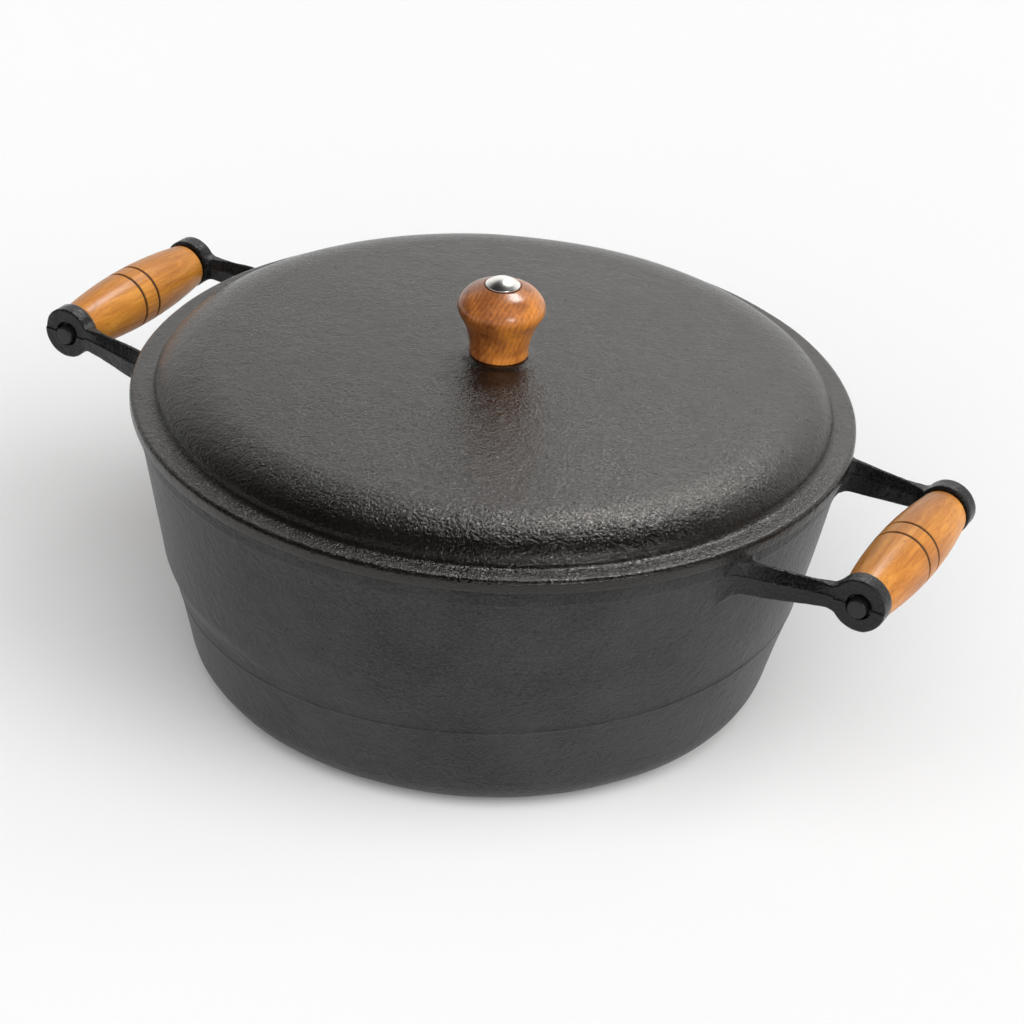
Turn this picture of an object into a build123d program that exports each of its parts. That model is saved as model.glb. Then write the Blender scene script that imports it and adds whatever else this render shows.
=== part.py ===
"""Round cast iron dutch oven: pot with four cast handle arms, domed lid, turned wooden grips and knob.

Millimetres, +Z up. The origin is the centre of the pot's flat base. X runs from handle to handle,
and the two wooden grips lie parallel to Y.
"""

from build123d import *
from math import asin, atan2, cos, degrees, sin
import os

# Pot: a tapered wall with a soft inward step, standing on a flat base.
rim_height = 119.5
rim_radius = 147.2
rim_band_height = 8.0
rim_band_proud = 0.9
wall_thickness = 4.8
upper_wall_slope = 0.172
step_top_height = 54.0
step_bottom_height = 47.0
step_depth = 2.3
step_rounding = 14.0
lower_wall_slope = 0.218
base_corner_rounding = 18.0
inner_corner_rounding = 14.0
floor_thickness = 5.5

# Lid: a flat flange that overhangs the rim, a tight fillet, a round shoulder and a low crown.
lid_radius = 150.0
flange_thickness = 5.5
flange_edge_rounding = 2.0
dome_radius = 140.1
dome_fillet = 3.0
shoulder_width = 28.0
shoulder_height = 13.3
crown_rise = 2.7
lid_thickness = 4.5
lip_depth = 5.0
lip_bottom_radius = 139.6
lip_top_radius = 140.4
lip_edge_rounding = 0.8

# Handles: round bosses on tapered arms that spread towards the pot, a steel rod and a wooden grip.
handle_reach = 186.5
handle_height = 111.5
boss_height = 112.2
boss_radius = 10.9
boss_outer_face = 47.45
boss_inner_face = 39.2
boss_edge_rounding = 0.8
arm_root = 124.0
arm_end_inset = 5.0
arm_face_inset = 0.3
arm_inner_face = 41.3
arm_top_height = 117.0
arm_bottom_height = 108.4
arm_bottom_slope = 0.146
arm_outer_spread = 0.165
arm_inner_spread = 0.1
rod_radius = 4.0
rod_seat_radius = 5.2
rod_seat_depth = 2.6
rod_end_proud = 1.2
rod_end_bevel = 0.8
grip_end_radius = 10.0
grip_middle_radius = 13.1
grip_end_gap = 0.4
grip_end_rounding = 1.0
grip_running_clearance = 0.08
groove_places = (-6.8, 2.2)
groove_radius = 0.65

# Knob: a turned wooden mushroom held by one M6 bolt with a polished mushroom head.
knob_height = 30.6
knob_foot_radius = 12.3
knob_widest_radius = 18.2
knob_top_radius = 8.0
knob_seat_radius = 14.3
knob_seat_height = 1.0
knob_seat_rounding = 0.5
bolt_radius = 3.0
bolt_hole_radius = 3.3
bolt_head_radius = 7.15
bolt_head_rim = 1.4
bolt_head_dome = 2.8
head_recess_radius = 7.6
head_recess_depth = 0.9
pad_radius = 11.0
pad_height = 2.0
washer_radius = 9.0
washer_thickness = 1.6
nut_across_flats = 10.0
nut_height = 5.0
bolt_end_past_nut = 1.5

# Heights that follow from the sizes above.
flange_top = rim_height + flange_thickness
crown_height = flange_top + shoulder_height + crown_rise
knob_base = crown_height + knob_seat_height
recess_floor = knob_base + knob_height - head_recess_depth
pad_bottom = crown_height - lid_thickness - pad_height
washer_bottom = pad_bottom - washer_thickness
nut_bottom = washer_bottom - nut_height
bolt_end = nut_bottom - bolt_end_past_nut


def turned(face):
    """Revolve an outline drawn as radius against height about Z."""
    return revolve(Plane.XZ * face, Axis.Z)


def turned_outline(points):
    """Solid of revolution from corners given as radius, height and rounding."""
    face = make_face(Polyline(*[(r, z) for r, z, rounding in points], close=True))
    for r, z, rounding in points:
        if rounding:
            corner = face.vertices().sort_by_distance((r, z, 0))[0]
            face = fillet(corner, rounding)
    return turned(face)


def along_y(solid, x, z):
    """Lay a solid that was turned about Z on its side, with its axis along Y at x and z."""
    return Pos(x, 0, z) * Rot(-90, 0, 0) * solid


def ring(inner, outer, bottom, top):
    """Plain ring about Z."""
    return turned_outline([(inner, bottom, 0), (outer, bottom, 0), (outer, top, 0), (inner, top, 0)])


def column(radius, bottom, top):
    """Plain round column about Z."""
    return Pos(0, 0, bottom) * extrude(Circle(radius), top - bottom)


def cap_arc(edge_radius, edge_height, top_height):
    """Arc from an edge up to the Z axis, on a sphere centred on that axis."""
    rise = top_height - edge_height
    sphere = (edge_radius ** 2 + rise ** 2) / (2 * rise)
    half_angle = asin(edge_radius / sphere) / 2
    middle = (sphere * sin(half_angle), top_height - sphere * (1 - cos(half_angle)))
    return ThreePointArc((edge_radius, edge_height), middle, (0, top_height))


def wall_radius(height):
    """Outer radius of the pot's wall at a height, above or below the step."""
    upper = rim_radius - rim_band_proud - upper_wall_slope * (rim_height - rim_band_height - height)
    if height >= step_top_height:
        return upper
    step_foot = wall_radius(step_top_height) - step_depth - upper_wall_slope * (
        step_top_height - step_bottom_height)
    return step_foot - lower_wall_slope * (step_bottom_height - height)


def pot_outside():
    band_foot = rim_height - rim_band_height
    return turned_outline([
        (0, 0, 0),
        (wall_radius(0), 0, base_corner_rounding),
        (wall_radius(step_bottom_height), step_bottom_height, step_rounding),
        (wall_radius(step_top_height), step_top_height, step_rounding),
        (wall_radius(band_foot), band_foot, 0),
        (rim_radius, band_foot + 1.0, 0),
        (rim_radius, rim_height, 1.0),
        (0, rim_height, 0),
    ])


def pot_inside():
    above_rim = rim_height + 20
    return turned_outline([
        (0, floor_thickness, 0),
        (wall_radius(floor_thickness) - wall_thickness, floor_thickness, inner_corner_rounding),
        (wall_radius(step_bottom_height) - wall_thickness, step_bottom_height + 1, step_rounding),
        (wall_radius(step_top_height) - wall_thickness, step_top_height + 1, step_rounding),
        (rim_radius - wall_thickness, rim_height, 0),
        (rim_radius - wall_thickness, above_rim, 0),
        (0, above_rim, 0),
    ])


def arm_and_boss():
    """The arm and boss at the +X, +Y corner, before its holes are cut."""
    arm_end = handle_reach - arm_end_inset
    reach = arm_end - arm_root
    outer_end = boss_outer_face - arm_face_inset
    plan = make_face(Polyline(
        (arm_root, outer_end + arm_outer_spread * reach),
        (arm_end, outer_end),
        (arm_end, arm_inner_face),
        (arm_root, arm_inner_face + arm_inner_spread * reach),
        close=True))
    side = make_face(Polyline(
        (arm_root, arm_top_height),
        (arm_end, arm_top_height),
        (arm_end, arm_bottom_height),
        (arm_root, arm_bottom_height - arm_bottom_slope * reach),
        close=True))
    bar = extrude(plan, rim_height) & extrude(Plane.XZ * side, -2 * boss_outer_face)
    boss = turned_outline([
        (0, boss_inner_face, 0),
        (boss_radius, boss_inner_face, boss_edge_rounding),
        (boss_radius, boss_outer_face, boss_edge_rounding),
        (0, boss_outer_face, 0),
    ])
    return bar + along_y(boss, handle_reach, boss_height)


def rod_holes(x):
    """Holes for one handle's rod: a low through bore and a wider seat from each outer face."""
    bore = column(rod_radius, -boss_outer_face - 1, boss_outer_face + 1)
    seat_floor = boss_outer_face - rod_seat_depth
    near_seat = column(rod_seat_radius, -boss_outer_face - 1, -seat_floor)
    far_seat = column(rod_seat_radius, seat_floor, boss_outer_face + 1)
    return along_y(bore, x, handle_height) + along_y(near_seat + far_seat, x, boss_height)


def make_pot():
    pot = pot_outside()
    corner_arm = arm_and_boss()
    right_arms = [corner_arm, mirror(corner_arm, Plane.XZ)]
    left_arms = [mirror(arm, Plane.YZ) for arm in right_arms]
    for arm in right_arms + left_arms:
        pot += arm
    pot -= pot_inside()
    for x in (handle_reach, -handle_reach):
        pot -= rod_holes(x)
    return pot


def dome_curves(inset):
    """Shoulder and crown of the lid as two curves, moved inwards from the outer surface by inset."""
    centre = dome_radius - shoulder_width
    width = shoulder_width - inset
    height = shoulder_height - inset
    crown_slope = 2 * crown_rise / centre
    join_angle = degrees(atan2(height, width * crown_slope))
    shoulder = EllipticalCenterArc((centre, flange_top), width, height, start_angle=0, arc_size=join_angle)
    join = shoulder @ 1
    crown = cap_arc(join.X, join.Y, crown_height - inset)
    return shoulder, crown


def lid_shell():
    outer_shoulder, outer_crown = dome_curves(0)
    inner_shoulder, inner_crown = dome_curves(lid_thickness)
    lip_bottom = rim_height - lip_depth
    lip_inner_radius = dome_radius - lid_thickness
    rim_line = Polyline(
        inner_shoulder @ 0,
        (lip_inner_radius, lip_bottom),
        (lip_bottom_radius, lip_bottom),
        (lip_top_radius, rim_height),
        (lid_radius, rim_height),
        (lid_radius, flange_top),
        outer_shoulder @ 0)
    axis_line = Line((0, crown_height), (0, crown_height - lid_thickness))
    face = make_face(rim_line.edges() + [outer_shoulder, outer_crown, axis_line, inner_crown, inner_shoulder])
    roundings = (
        (lid_radius, flange_top, flange_edge_rounding),
        (lid_radius, rim_height, 1.0),
        (dome_radius, flange_top, dome_fillet),
        (lip_bottom_radius, lip_bottom, lip_edge_rounding),
    )
    for r, z, rounding in roundings:
        corner = face.vertices().sort_by_distance((r, z, 0))[0]
        face = fillet(corner, rounding)
    return turned(face)


def make_lid():
    seat = turned_outline([
        (0, crown_height - 1.5, 0),
        (knob_seat_radius, crown_height - 1.5, 0),
        (knob_seat_radius, knob_base, knob_seat_rounding),
        (0, knob_base, 0),
    ])
    pad = column(pad_radius, pad_bottom, crown_height - lid_thickness + 0.5)
    hole = column(bolt_hole_radius, pad_bottom - 1, knob_base + 1)
    return lid_shell() + seat + pad - hole


def make_grip(x):
    half = boss_inner_face - grip_end_gap
    barrel = ThreePointArc((grip_end_radius, -half), (grip_middle_radius, 0), (grip_end_radius, half))
    face = make_face([
        barrel,
        Line((grip_end_radius, half), (0, half)),
        Line((0, half), (0, -half)),
        Line((0, -half), (grip_end_radius, -half)),
    ])
    for end in (-half, half):
        corner = face.vertices().sort_by_distance((grip_end_radius, end, 0))[0]
        face = fillet(corner, grip_end_rounding)
    grip = turned(face) - column(rod_radius + grip_running_clearance, -half - 1, half + 1)
    for place in groove_places:
        surface = grip_middle_radius - (grip_middle_radius - grip_end_radius) * (place / half) ** 2
        grip -= turned(Pos(surface, place) * Circle(groove_radius))
    return along_y(grip, x, handle_height)


def make_rod(x):
    half = boss_outer_face + rod_end_proud
    rod = chamfer(column(rod_radius, -half, half).edges().filter_by(GeomType.CIRCLE), rod_end_bevel)
    return along_y(rod, x, handle_height)


def make_knob():
    profile = Spline(
        (knob_foot_radius, 0),
        (knob_foot_radius + 0.5, 0.15 * knob_height),
        (15.2, 0.42 * knob_height),
        (knob_widest_radius, 0.68 * knob_height),
        (14.4, 0.89 * knob_height),
        (knob_top_radius, knob_height),
        tangents=[(0, 1), (-1, 0.12)])
    face = make_face([
        profile,
        Line((knob_top_radius, knob_height), (0, knob_height)),
        Line((0, knob_height), (0, 0)),
        Line((0, 0), (knob_foot_radius, 0)),
    ])
    knob = Pos(0, 0, knob_base) * turned(face)
    knob -= column(bolt_hole_radius, knob_base - 1, knob_base + knob_height + 1)
    knob -= column(head_recess_radius, recess_floor, knob_base + knob_height + 1)
    return knob


def make_knob_bolt():
    rim_top = recess_floor + bolt_head_rim
    dome_top = rim_top + bolt_head_dome
    dome = cap_arc(bolt_head_radius, rim_top, dome_top)
    sides = Polyline(
        (0, dome_top),
        (0, bolt_end),
        (bolt_radius, bolt_end),
        (bolt_radius, recess_floor),
        (bolt_head_radius, recess_floor),
        (bolt_head_radius, rim_top))
    return turned(make_face([dome] + sides.edges()))


def make_knob_washer():
    return ring(bolt_hole_radius, washer_radius, washer_bottom, pad_bottom)


def make_knob_nut():
    hexagon = RegularPolygon(nut_across_flats / 2, 6, major_radius=False)
    body = Pos(0, 0, nut_bottom) * extrude(hexagon, nut_height)
    return body - column(bolt_radius, nut_bottom - 1, washer_bottom + 1)


parts = {
    "pot": make_pot(),
    "lid": make_lid(),
    "knob": make_knob(),
    "knob_bolt": make_knob_bolt(),
    "knob_washer": make_knob_washer(),
    "knob_nut": make_knob_nut(),
}
for side_name, side_x in (("left", -handle_reach), ("right", handle_reach)):
    parts[side_name + "_grip"] = make_grip(side_x)
    parts[side_name + "_grip_rod"] = make_rod(side_x)

os.makedirs("parts", exist_ok=True)
for node, solid in parts.items():
    export_step(solid, f"parts/{node}.step")
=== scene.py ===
"""Looks of a round cast iron dutch oven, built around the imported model.

The object is in metres, +Z up, with X running from handle to handle. Shapes are written in
millimetres, the maker's unit, and turned into metres when a mesh is made.
"""

from math import acos, asin, atan2, cos, hypot, pi, radians, sin, sqrt

import bmesh
import bpy
from mathutils import Matrix, Vector, noise


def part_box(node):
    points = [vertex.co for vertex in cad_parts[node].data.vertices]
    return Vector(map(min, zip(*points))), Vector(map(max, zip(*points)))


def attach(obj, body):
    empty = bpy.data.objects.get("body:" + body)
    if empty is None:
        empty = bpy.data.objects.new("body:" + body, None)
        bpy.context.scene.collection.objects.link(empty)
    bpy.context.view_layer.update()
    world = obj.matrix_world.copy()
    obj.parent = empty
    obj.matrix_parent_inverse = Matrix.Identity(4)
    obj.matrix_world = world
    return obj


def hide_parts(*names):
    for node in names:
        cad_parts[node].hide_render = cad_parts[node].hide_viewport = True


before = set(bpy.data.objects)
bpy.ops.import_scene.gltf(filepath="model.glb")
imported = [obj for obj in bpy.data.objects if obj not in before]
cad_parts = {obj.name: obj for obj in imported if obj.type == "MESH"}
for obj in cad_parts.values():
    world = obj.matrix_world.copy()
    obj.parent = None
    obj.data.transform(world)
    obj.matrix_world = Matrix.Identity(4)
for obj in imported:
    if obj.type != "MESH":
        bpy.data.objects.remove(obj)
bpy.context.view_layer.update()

mm = 0.001

# ---------------------------------------------------------------- sizes in millimetres

lid_low, lid_high = (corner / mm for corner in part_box("lid"))
knob_low, knob_high = (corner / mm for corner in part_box("knob"))
washer_low, washer_high = (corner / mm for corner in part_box("knob_washer"))
nut_low, nut_high = (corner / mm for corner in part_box("knob_nut"))
bolt_low, bolt_high = (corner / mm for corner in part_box("knob_bolt"))
grip_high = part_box("right_grip")[1] / mm
rod_low, rod_high = (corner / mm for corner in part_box("right_grip_rod"))

rim_height = 119.5
rim_radius = 147.2
rim_band_height = 8.0
rim_band_proud = 0.9
wall_thickness = 4.8
upper_wall_slope = 0.172
step_top, step_bottom, step_depth = 54.0, 47.0, 2.3
lower_wall_slope = 0.218
step_rounding = 16.0
ring_rows = (34.0, 53.0)
base_rounding = 18.0
inner_rounding = 14.0
floor_thickness = 5.5

lid_radius = lid_high.x
flange_top = 125.0
dome_radius = 140.1
shoulder_width = 28.0
shoulder_height = 13.3
crown_rise = 2.7
crown_height = flange_top + shoulder_height + crown_rise
lid_thickness = 4.5
lip_bottom = lid_low.z
seat_radius = 14.3
mound_top, mound_foot = 13.5, 16.4
pad_radius = 11.0
bolt_hole_radius = 3.3
head_recess_radius = 7.6
recess_floor = bolt_high.z - 4.2

handle_reach = (rod_low.x + rod_high.x) / 2
handle_height = (rod_low.z + rod_high.z) / 2
boss_height = 112.2
boss_radius = 10.9
boss_outer_face = 47.45
boss_inner_face = 39.2
arm_inner_face = 41.3
boss_rounding = 0.8
arm_top_height = 117.0
arm_bottom_height = 108.4
arm_end = 181.5
arm_bottom_slope = 0.146
arm_outer_spread = 0.165
arm_inner_spread = 0.1
rod_radius = rod_high.z - handle_height
rod_seat_radius = 5.2
rod_seat_depth = 2.6

# Distances from the axis over which the pot's iron turns from its wall finish to the smoother arm finish,
# which has a blacker colour as painted shade.
arm_finish_and_shade_start, arm_finish_and_shade_full = 149.0, 161.0

grip_end_radius = 10.0
grip_middle_radius = 13.1
groove_places = (-6.8, 2.2)
groove_radius = 0.65


# ---------------------------------------------------------------- node trees

class Wire:
    """The output of a node. Arithmetic on it adds Math nodes to the same tree."""

    def __init__(self, board, socket):
        self.board = board
        self.socket = socket

    def math(self, operation, *values):
        return self.board.node("ShaderNodeMath", {"operation": operation}, dict(enumerate(values)))

    def __add__(self, other):
        return self.math("ADD", self, other)

    def __radd__(self, other):
        return self.math("ADD", other, self)

    def __sub__(self, other):
        return self.math("SUBTRACT", self, other)

    def __rsub__(self, other):
        return self.math("SUBTRACT", other, self)

    def __mul__(self, other):
        return self.math("MULTIPLY", self, other)

    def __rmul__(self, other):
        return self.math("MULTIPLY", other, self)

    def __truediv__(self, other):
        return self.math("DIVIDE", self, other)

    def __pow__(self, other):
        return self.math("POWER", self, other)

    def __abs__(self):
        return self.math("ABSOLUTE", self)

    def between(self, low, high):
        """0 at low, 1 at high, eased in between and held outside."""
        return self.board.node("ShaderNodeMapRange", {"interpolation_type": "SMOOTHSTEP"},
                               {"Value": self, "From Min": low, "From Max": high})


class Board:
    """A node tree being wired up."""

    def __init__(self, tree):
        self.tree = tree

    def node(self, kind, settings=None, sockets=None, output=None):
        """Add a node, set it up, fill its sockets with values or wires, and return one output."""
        node = self.tree.nodes.new(kind)
        for name, value in (settings or {}).items():
            if name == "stops":
                ramp = node.color_ramp
                while len(ramp.elements) < len(value):
                    ramp.elements.new(1.0)
                for element, (place, colour) in zip(ramp.elements, value):
                    element.position = place
                    element.color = (*colour, 1.0)
            else:
                setattr(node, name, value)
        for name, value in (sockets or {}).items():
            socket = self.find(node.inputs, name)
            if isinstance(value, Wire):
                self.tree.links.new(value.socket, socket)
            elif socket.type == "RGBA" and len(value) == 3:
                socket.default_value = (*value, 1.0)
            else:
                socket.default_value = value
        if not node.outputs:
            return None
        return Wire(self, self.find(node.outputs, output or 0))

    @staticmethod
    def find(sockets, name):
        if isinstance(name, int):
            return [socket for socket in sockets if socket.enabled][name]
        return next(socket for socket in sockets if socket.enabled and socket.name == name)

    def noise(self, where, scale, detail=2.0, roughness=0.5, distortion=0.0):
        return self.node("ShaderNodeTexNoise", {}, {
            "Vector": where, "Scale": scale, "Detail": detail, "Roughness": roughness,
            "Distortion": distortion})

    def mix(self, share, first, second):
        return self.node("ShaderNodeMix", {"data_type": "RGBA"}, {"Factor": share, "A": first, "B": second})

    def stretched(self, where, scale):
        return self.node("ShaderNodeVectorMath", {"operation": "MULTIPLY"}, {0: where, 1: scale})


def turning_tree():
    """Turns a profile, given as points in the XZ plane, about Z. Its points run outwards along the
    bottom, up the outside and back to the axis, so that faces point out of the metal or wood."""
    tree = bpy.data.node_groups.new("turning", "GeometryNodeTree")
    sockets = (
        ("Profile", "NodeSocketGeometry"),
        ("Steps Around", "NodeSocketInt"),
        ("Unevenness", "NodeSocketFloat"),
        ("Unevenness Scale", "NodeSocketFloat"),
        ("Seed", "NodeSocketFloat"),
        ("Finish", "NodeSocketMaterial"),
    )
    for name, kind in sockets:
        tree.interface.new_socket(name, in_out="INPUT", socket_type=kind)
    tree.interface.new_socket("Turned", in_out="OUTPUT", socket_type="NodeSocketGeometry")
    board = Board(tree)
    given = {name: board.node("NodeGroupInput", output=name) for name, kind in sockets}

    points = board.node("GeometryNodeAttributeDomainSize", {"component": "MESH"},
                        {"Geometry": given["Profile"]}, "Point Count")
    grid = board.node("GeometryNodeMeshGrid", {}, {
        "Size X": 1.0, "Size Y": 1.0, "Vertices X": given["Steps Around"] + 1.0,
        "Vertices Y": points}, "Mesh")
    place = board.node("GeometryNodeInputPosition")
    across = board.node("ShaderNodeSeparateXYZ", {}, {0: place}, "X") + 0.5
    along = board.node("ShaderNodeSeparateXYZ", {}, {0: place}, "Y") + 0.5
    index = board.node("ShaderNodeMath", {"operation": "ROUND"}, {0: along * (points - 1.0)})
    sample = board.node("GeometryNodeSampleIndex", {"data_type": "FLOAT_VECTOR", "domain": "POINT"}, {
        "Geometry": given["Profile"], "Value": place, "Index": index})
    turned = board.node("ShaderNodeVectorRotate", {"rotation_type": "Z_AXIS"}, {
        "Vector": sample, "Angle": across * (2 * pi)})
    skin = board.node("GeometryNodeSetPosition", {}, {"Geometry": grid, "Position": turned})
    skin = board.node("GeometryNodeMergeByDistance", {}, {"Geometry": skin, "Distance": 0.002 * mm})

    cloud = board.node("ShaderNodeTexNoise", {"noise_dimensions": "4D"}, {
        "Vector": board.node("GeometryNodeInputPosition"), "W": given["Seed"],
        "Scale": given["Unevenness Scale"], "Detail": 1.0})
    bulge = board.node("ShaderNodeVectorMath", {"operation": "SCALE"}, {
        "Vector": board.node("GeometryNodeInputNormal"), "Scale": (cloud - 0.5) * given["Unevenness"]})
    skin = board.node("GeometryNodeSetPosition", {}, {"Geometry": skin, "Offset": bulge})
    skin = board.node("GeometryNodeSetShadeSmooth", {}, {"Geometry": skin, "Shade Smooth": True})
    skin = board.node("GeometryNodeRealizeInstances", {}, {"Geometry": skin})
    skin = board.node("GeometryNodeSetMaterial", {}, {"Geometry": skin, "Material": given["Finish"]})
    board.node("NodeGroupOutput", {}, {"Turned": skin})
    return tree


turning = turning_tree()


def turn(name, profile, finish, steps=192, unevenness=0.0, patch=25.0, seed=0.0):
    """A plain mesh object turned about Z from a profile of radius and height in millimetres.
    Its surface wanders by the unevenness, in patches of that size."""
    line = bpy.data.meshes.new(name)
    line.from_pydata([(r * mm, 0, z * mm) for r, z in profile],
                     [(i, i + 1) for i in range(len(profile) - 1)], [])
    piece = bpy.data.objects.new(name, line)
    bpy.context.scene.collection.objects.link(piece)
    modifier = piece.modifiers.new("turning", "NODES")
    modifier.node_group = turning
    values = {"Steps Around": steps, "Unevenness": unevenness * mm, "Unevenness Scale": 1 / (patch * mm),
              "Seed": seed, "Finish": finish}
    for socket in turning.interface.items_tree:
        if socket.in_out == "INPUT" and socket.name in values:
            modifier[socket.identifier] = values[socket.name]
    skin = piece.evaluated_get(bpy.context.evaluated_depsgraph_get())
    mesh = bpy.data.meshes.new_from_object(skin)
    piece.modifiers.remove(modifier)
    piece.data = mesh
    mesh.materials.clear()
    mesh.materials.append(finish)
    for face in mesh.polygons:
        face.material_index = 0
    return piece


# ---------------------------------------------------------------- profiles

def rounded(corners, steps=6, closed=False):
    """Points through corners of radius, height and rounding, with an arc at each rounding."""
    count = len(corners)
    points = []
    for i, (r, z, rounding) in enumerate(corners):
        here = Vector((r, z))
        at_end = not closed and i in (0, count - 1)
        if not rounding or at_end:
            points.append((r, z))
            continue
        before = (Vector(corners[i - 1][:2]) - here).normalized()
        after = (Vector(corners[(i + 1) % count][:2]) - here).normalized()
        half_angle = acos(max(-1.0, min(1.0, before.dot(after)))) / 2
        start = here + before * rounding / abs(sin(half_angle)) * cos(half_angle)
        centre = here + (before + after).normalized() * rounding / sin(half_angle)
        spoke = start - centre
        turn_angle = pi - 2 * half_angle
        if spoke.x * (here - start).y - spoke.y * (here - start).x < 0:
            turn_angle = -turn_angle
        for step in range(steps + 1):
            angle = turn_angle * step / steps
            points.append((centre.x + spoke.x * cos(angle) - spoke.y * sin(angle),
                           centre.y + spoke.x * sin(angle) + spoke.y * cos(angle)))
    if closed:
        points.append(points[0])
    return points


def divided(points, longest):
    """The same line with its long runs divided."""
    line = [points[0]]
    for end in points[1:]:
        start = line[-1]
        runs = max(1, int(hypot(end[0] - start[0], end[1] - start[1]) / longest + 0.999))
        line += [(start[0] + (end[0] - start[0]) * i / runs, start[1] + (end[1] - start[1]) * i / runs)
                 for i in range(1, runs + 1)]
    return line


def flowing(knots, steps=8):
    """Smooth line through its knots."""
    ends = [(2 * knots[0][0] - knots[1][0], 2 * knots[0][1] - knots[1][1])]
    tail = [(2 * knots[-1][0] - knots[-2][0], 2 * knots[-1][1] - knots[-2][1])]
    padded = ends + list(knots) + tail
    line = []
    for before, start, end, after in zip(padded, padded[1:], padded[2:], padded[3:]):
        for step in range(steps):
            t = step / steps
            line.append(tuple(0.5 * (2 * b + (c - a) * t + (2 * a - 5 * b + 4 * c - d) * t * t
                                     + (3 * b - a - 3 * c + d) * t ** 3)
                              for a, b, c, d in zip(before, start, end, after)))
    return line + [tuple(knots[-1])]


def cap_arc(edge_radius, edge_height, top_height, steps):
    """Points from just past an edge up to the axis on a sphere centred on that axis."""
    rise = top_height - edge_height
    sphere = (edge_radius ** 2 + rise ** 2) / (2 * rise)
    half_angle = asin(edge_radius / sphere)
    return [(sphere * sin(half_angle * (1 - i / steps)),
             top_height - sphere * (1 - cos(half_angle * (1 - i / steps)))) for i in range(1, steps + 1)]


def wall_radius(height):
    """Outer radius of the pot's wall below its rim band."""
    upper = rim_radius - rim_band_proud - upper_wall_slope * (rim_height - rim_band_height - height)
    if height >= step_top:
        return upper
    foot = wall_radius(step_top) - step_depth - upper_wall_slope * (step_top - step_bottom)
    return foot - lower_wall_slope * (step_bottom - height)


def pot_profile():
    band_foot = rim_height - rim_band_height
    outside = [
        (0, 0, 0),
        (wall_radius(0), 0, base_rounding),
        (wall_radius(step_bottom), step_bottom, step_rounding),
        (wall_radius(step_top), step_top, step_rounding),
        (wall_radius(band_foot), band_foot, 1.2),
        (rim_radius, band_foot + 1.2, 0.8),
        (rim_radius, rim_height, 1.7),
        (rim_radius - wall_thickness, rim_height, 1.3),
        (wall_radius(step_top) - wall_thickness, step_top + 1, step_rounding),
        (wall_radius(step_bottom) - wall_thickness, step_bottom + 1, step_rounding),
        (wall_radius(floor_thickness) - wall_thickness, floor_thickness, inner_rounding),
        (0, floor_thickness, 0),
    ]
    line = divided(rounded(outside, 8), 2.4)
    fine = []
    for start, end in zip(line, line[1:]):
        on_ring = start[0] > wall_radius(start[1]) - 1 and ring_rows[0] < start[1] < ring_rows[1]
        fine += divided([start, end], 0.35 if on_ring else 2.4)[:-1]
    return fine + [line[-1]]


def dome_line(inset):
    """The lid's shoulder and crown, from the flange to the axis, moved in by an inset."""
    centre = dome_radius - shoulder_width
    width, height = shoulder_width - inset, shoulder_height - inset
    join = atan2(height, width * 2 * crown_rise / centre)
    start = asin(3.4 / height)
    steps = 26
    shoulder = [(centre + width * cos(start + (join - start) * i / steps),
                 flange_top + height * sin(start + (join - start) * i / steps)) for i in range(steps + 1)]
    return shoulder + cap_arc(*shoulder[-1], crown_height - inset, 44)


def lid_profile():
    """The lid's section, from the bolt hole's lower edge round by the flange to its upper edge."""
    inner = [(r, z, 0) for r, z in dome_line(lid_thickness) if r > pad_radius + 2.5]
    outer = [(r, z, 0) for r, z in dome_line(0) if r > seat_radius + 4.0]
    pad_bottom = washer_high.z
    pad_root = crown_height - lid_thickness
    mound = []
    for i in range(11):
        r = seat_radius + 3.6 - 0.5 * i
        crown = crown_height - crown_rise * (r / (dome_radius - shoulder_width)) ** 2
        mound.append((r, crown + (knob_low.z - crown) * (1 - ease(r, mound_top, mound_foot)), 0))
    corners = [
        (bolt_hole_radius, pad_bottom, 0.4),
        (pad_radius, pad_bottom, 0.6),
        (pad_radius, pad_root, 1.2),
        *reversed(inner),
        (dome_radius - lid_thickness, flange_top - 1, 0),
        (dome_radius - lid_thickness, lip_bottom, 1.0),
        (139.6, lip_bottom, 1.0),
        (140.4, rim_height, 0.4),
        (lid_radius - 0.1, rim_height, 0.7),
        (lid_radius - 0.1, flange_top, 2.0),
        (dome_radius, flange_top, 3.0),
        *outer,
        *mound,
        (bolt_hole_radius, knob_low.z, 0.2),
    ]
    return divided(rounded(corners, 6, closed=True), 2.6)


# ---------------------------------------------------------------- finishes

def finish_board(name):
    material = bpy.data.materials.new(name)
    material.use_nodes = True
    material.node_tree.nodes.clear()
    return material, Board(material.node_tree)


def skin_shader(board, **sockets):
    """A Principled shader, with underscores in socket names for spaces."""
    return board.node("ShaderNodeBsdfPrincipled", {},
                      {name.replace("_", " "): value for name, value in sockets.items()})


def show(board, shader):
    board.node("ShaderNodeOutputMaterial", {}, {"Surface": shader})


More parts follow.
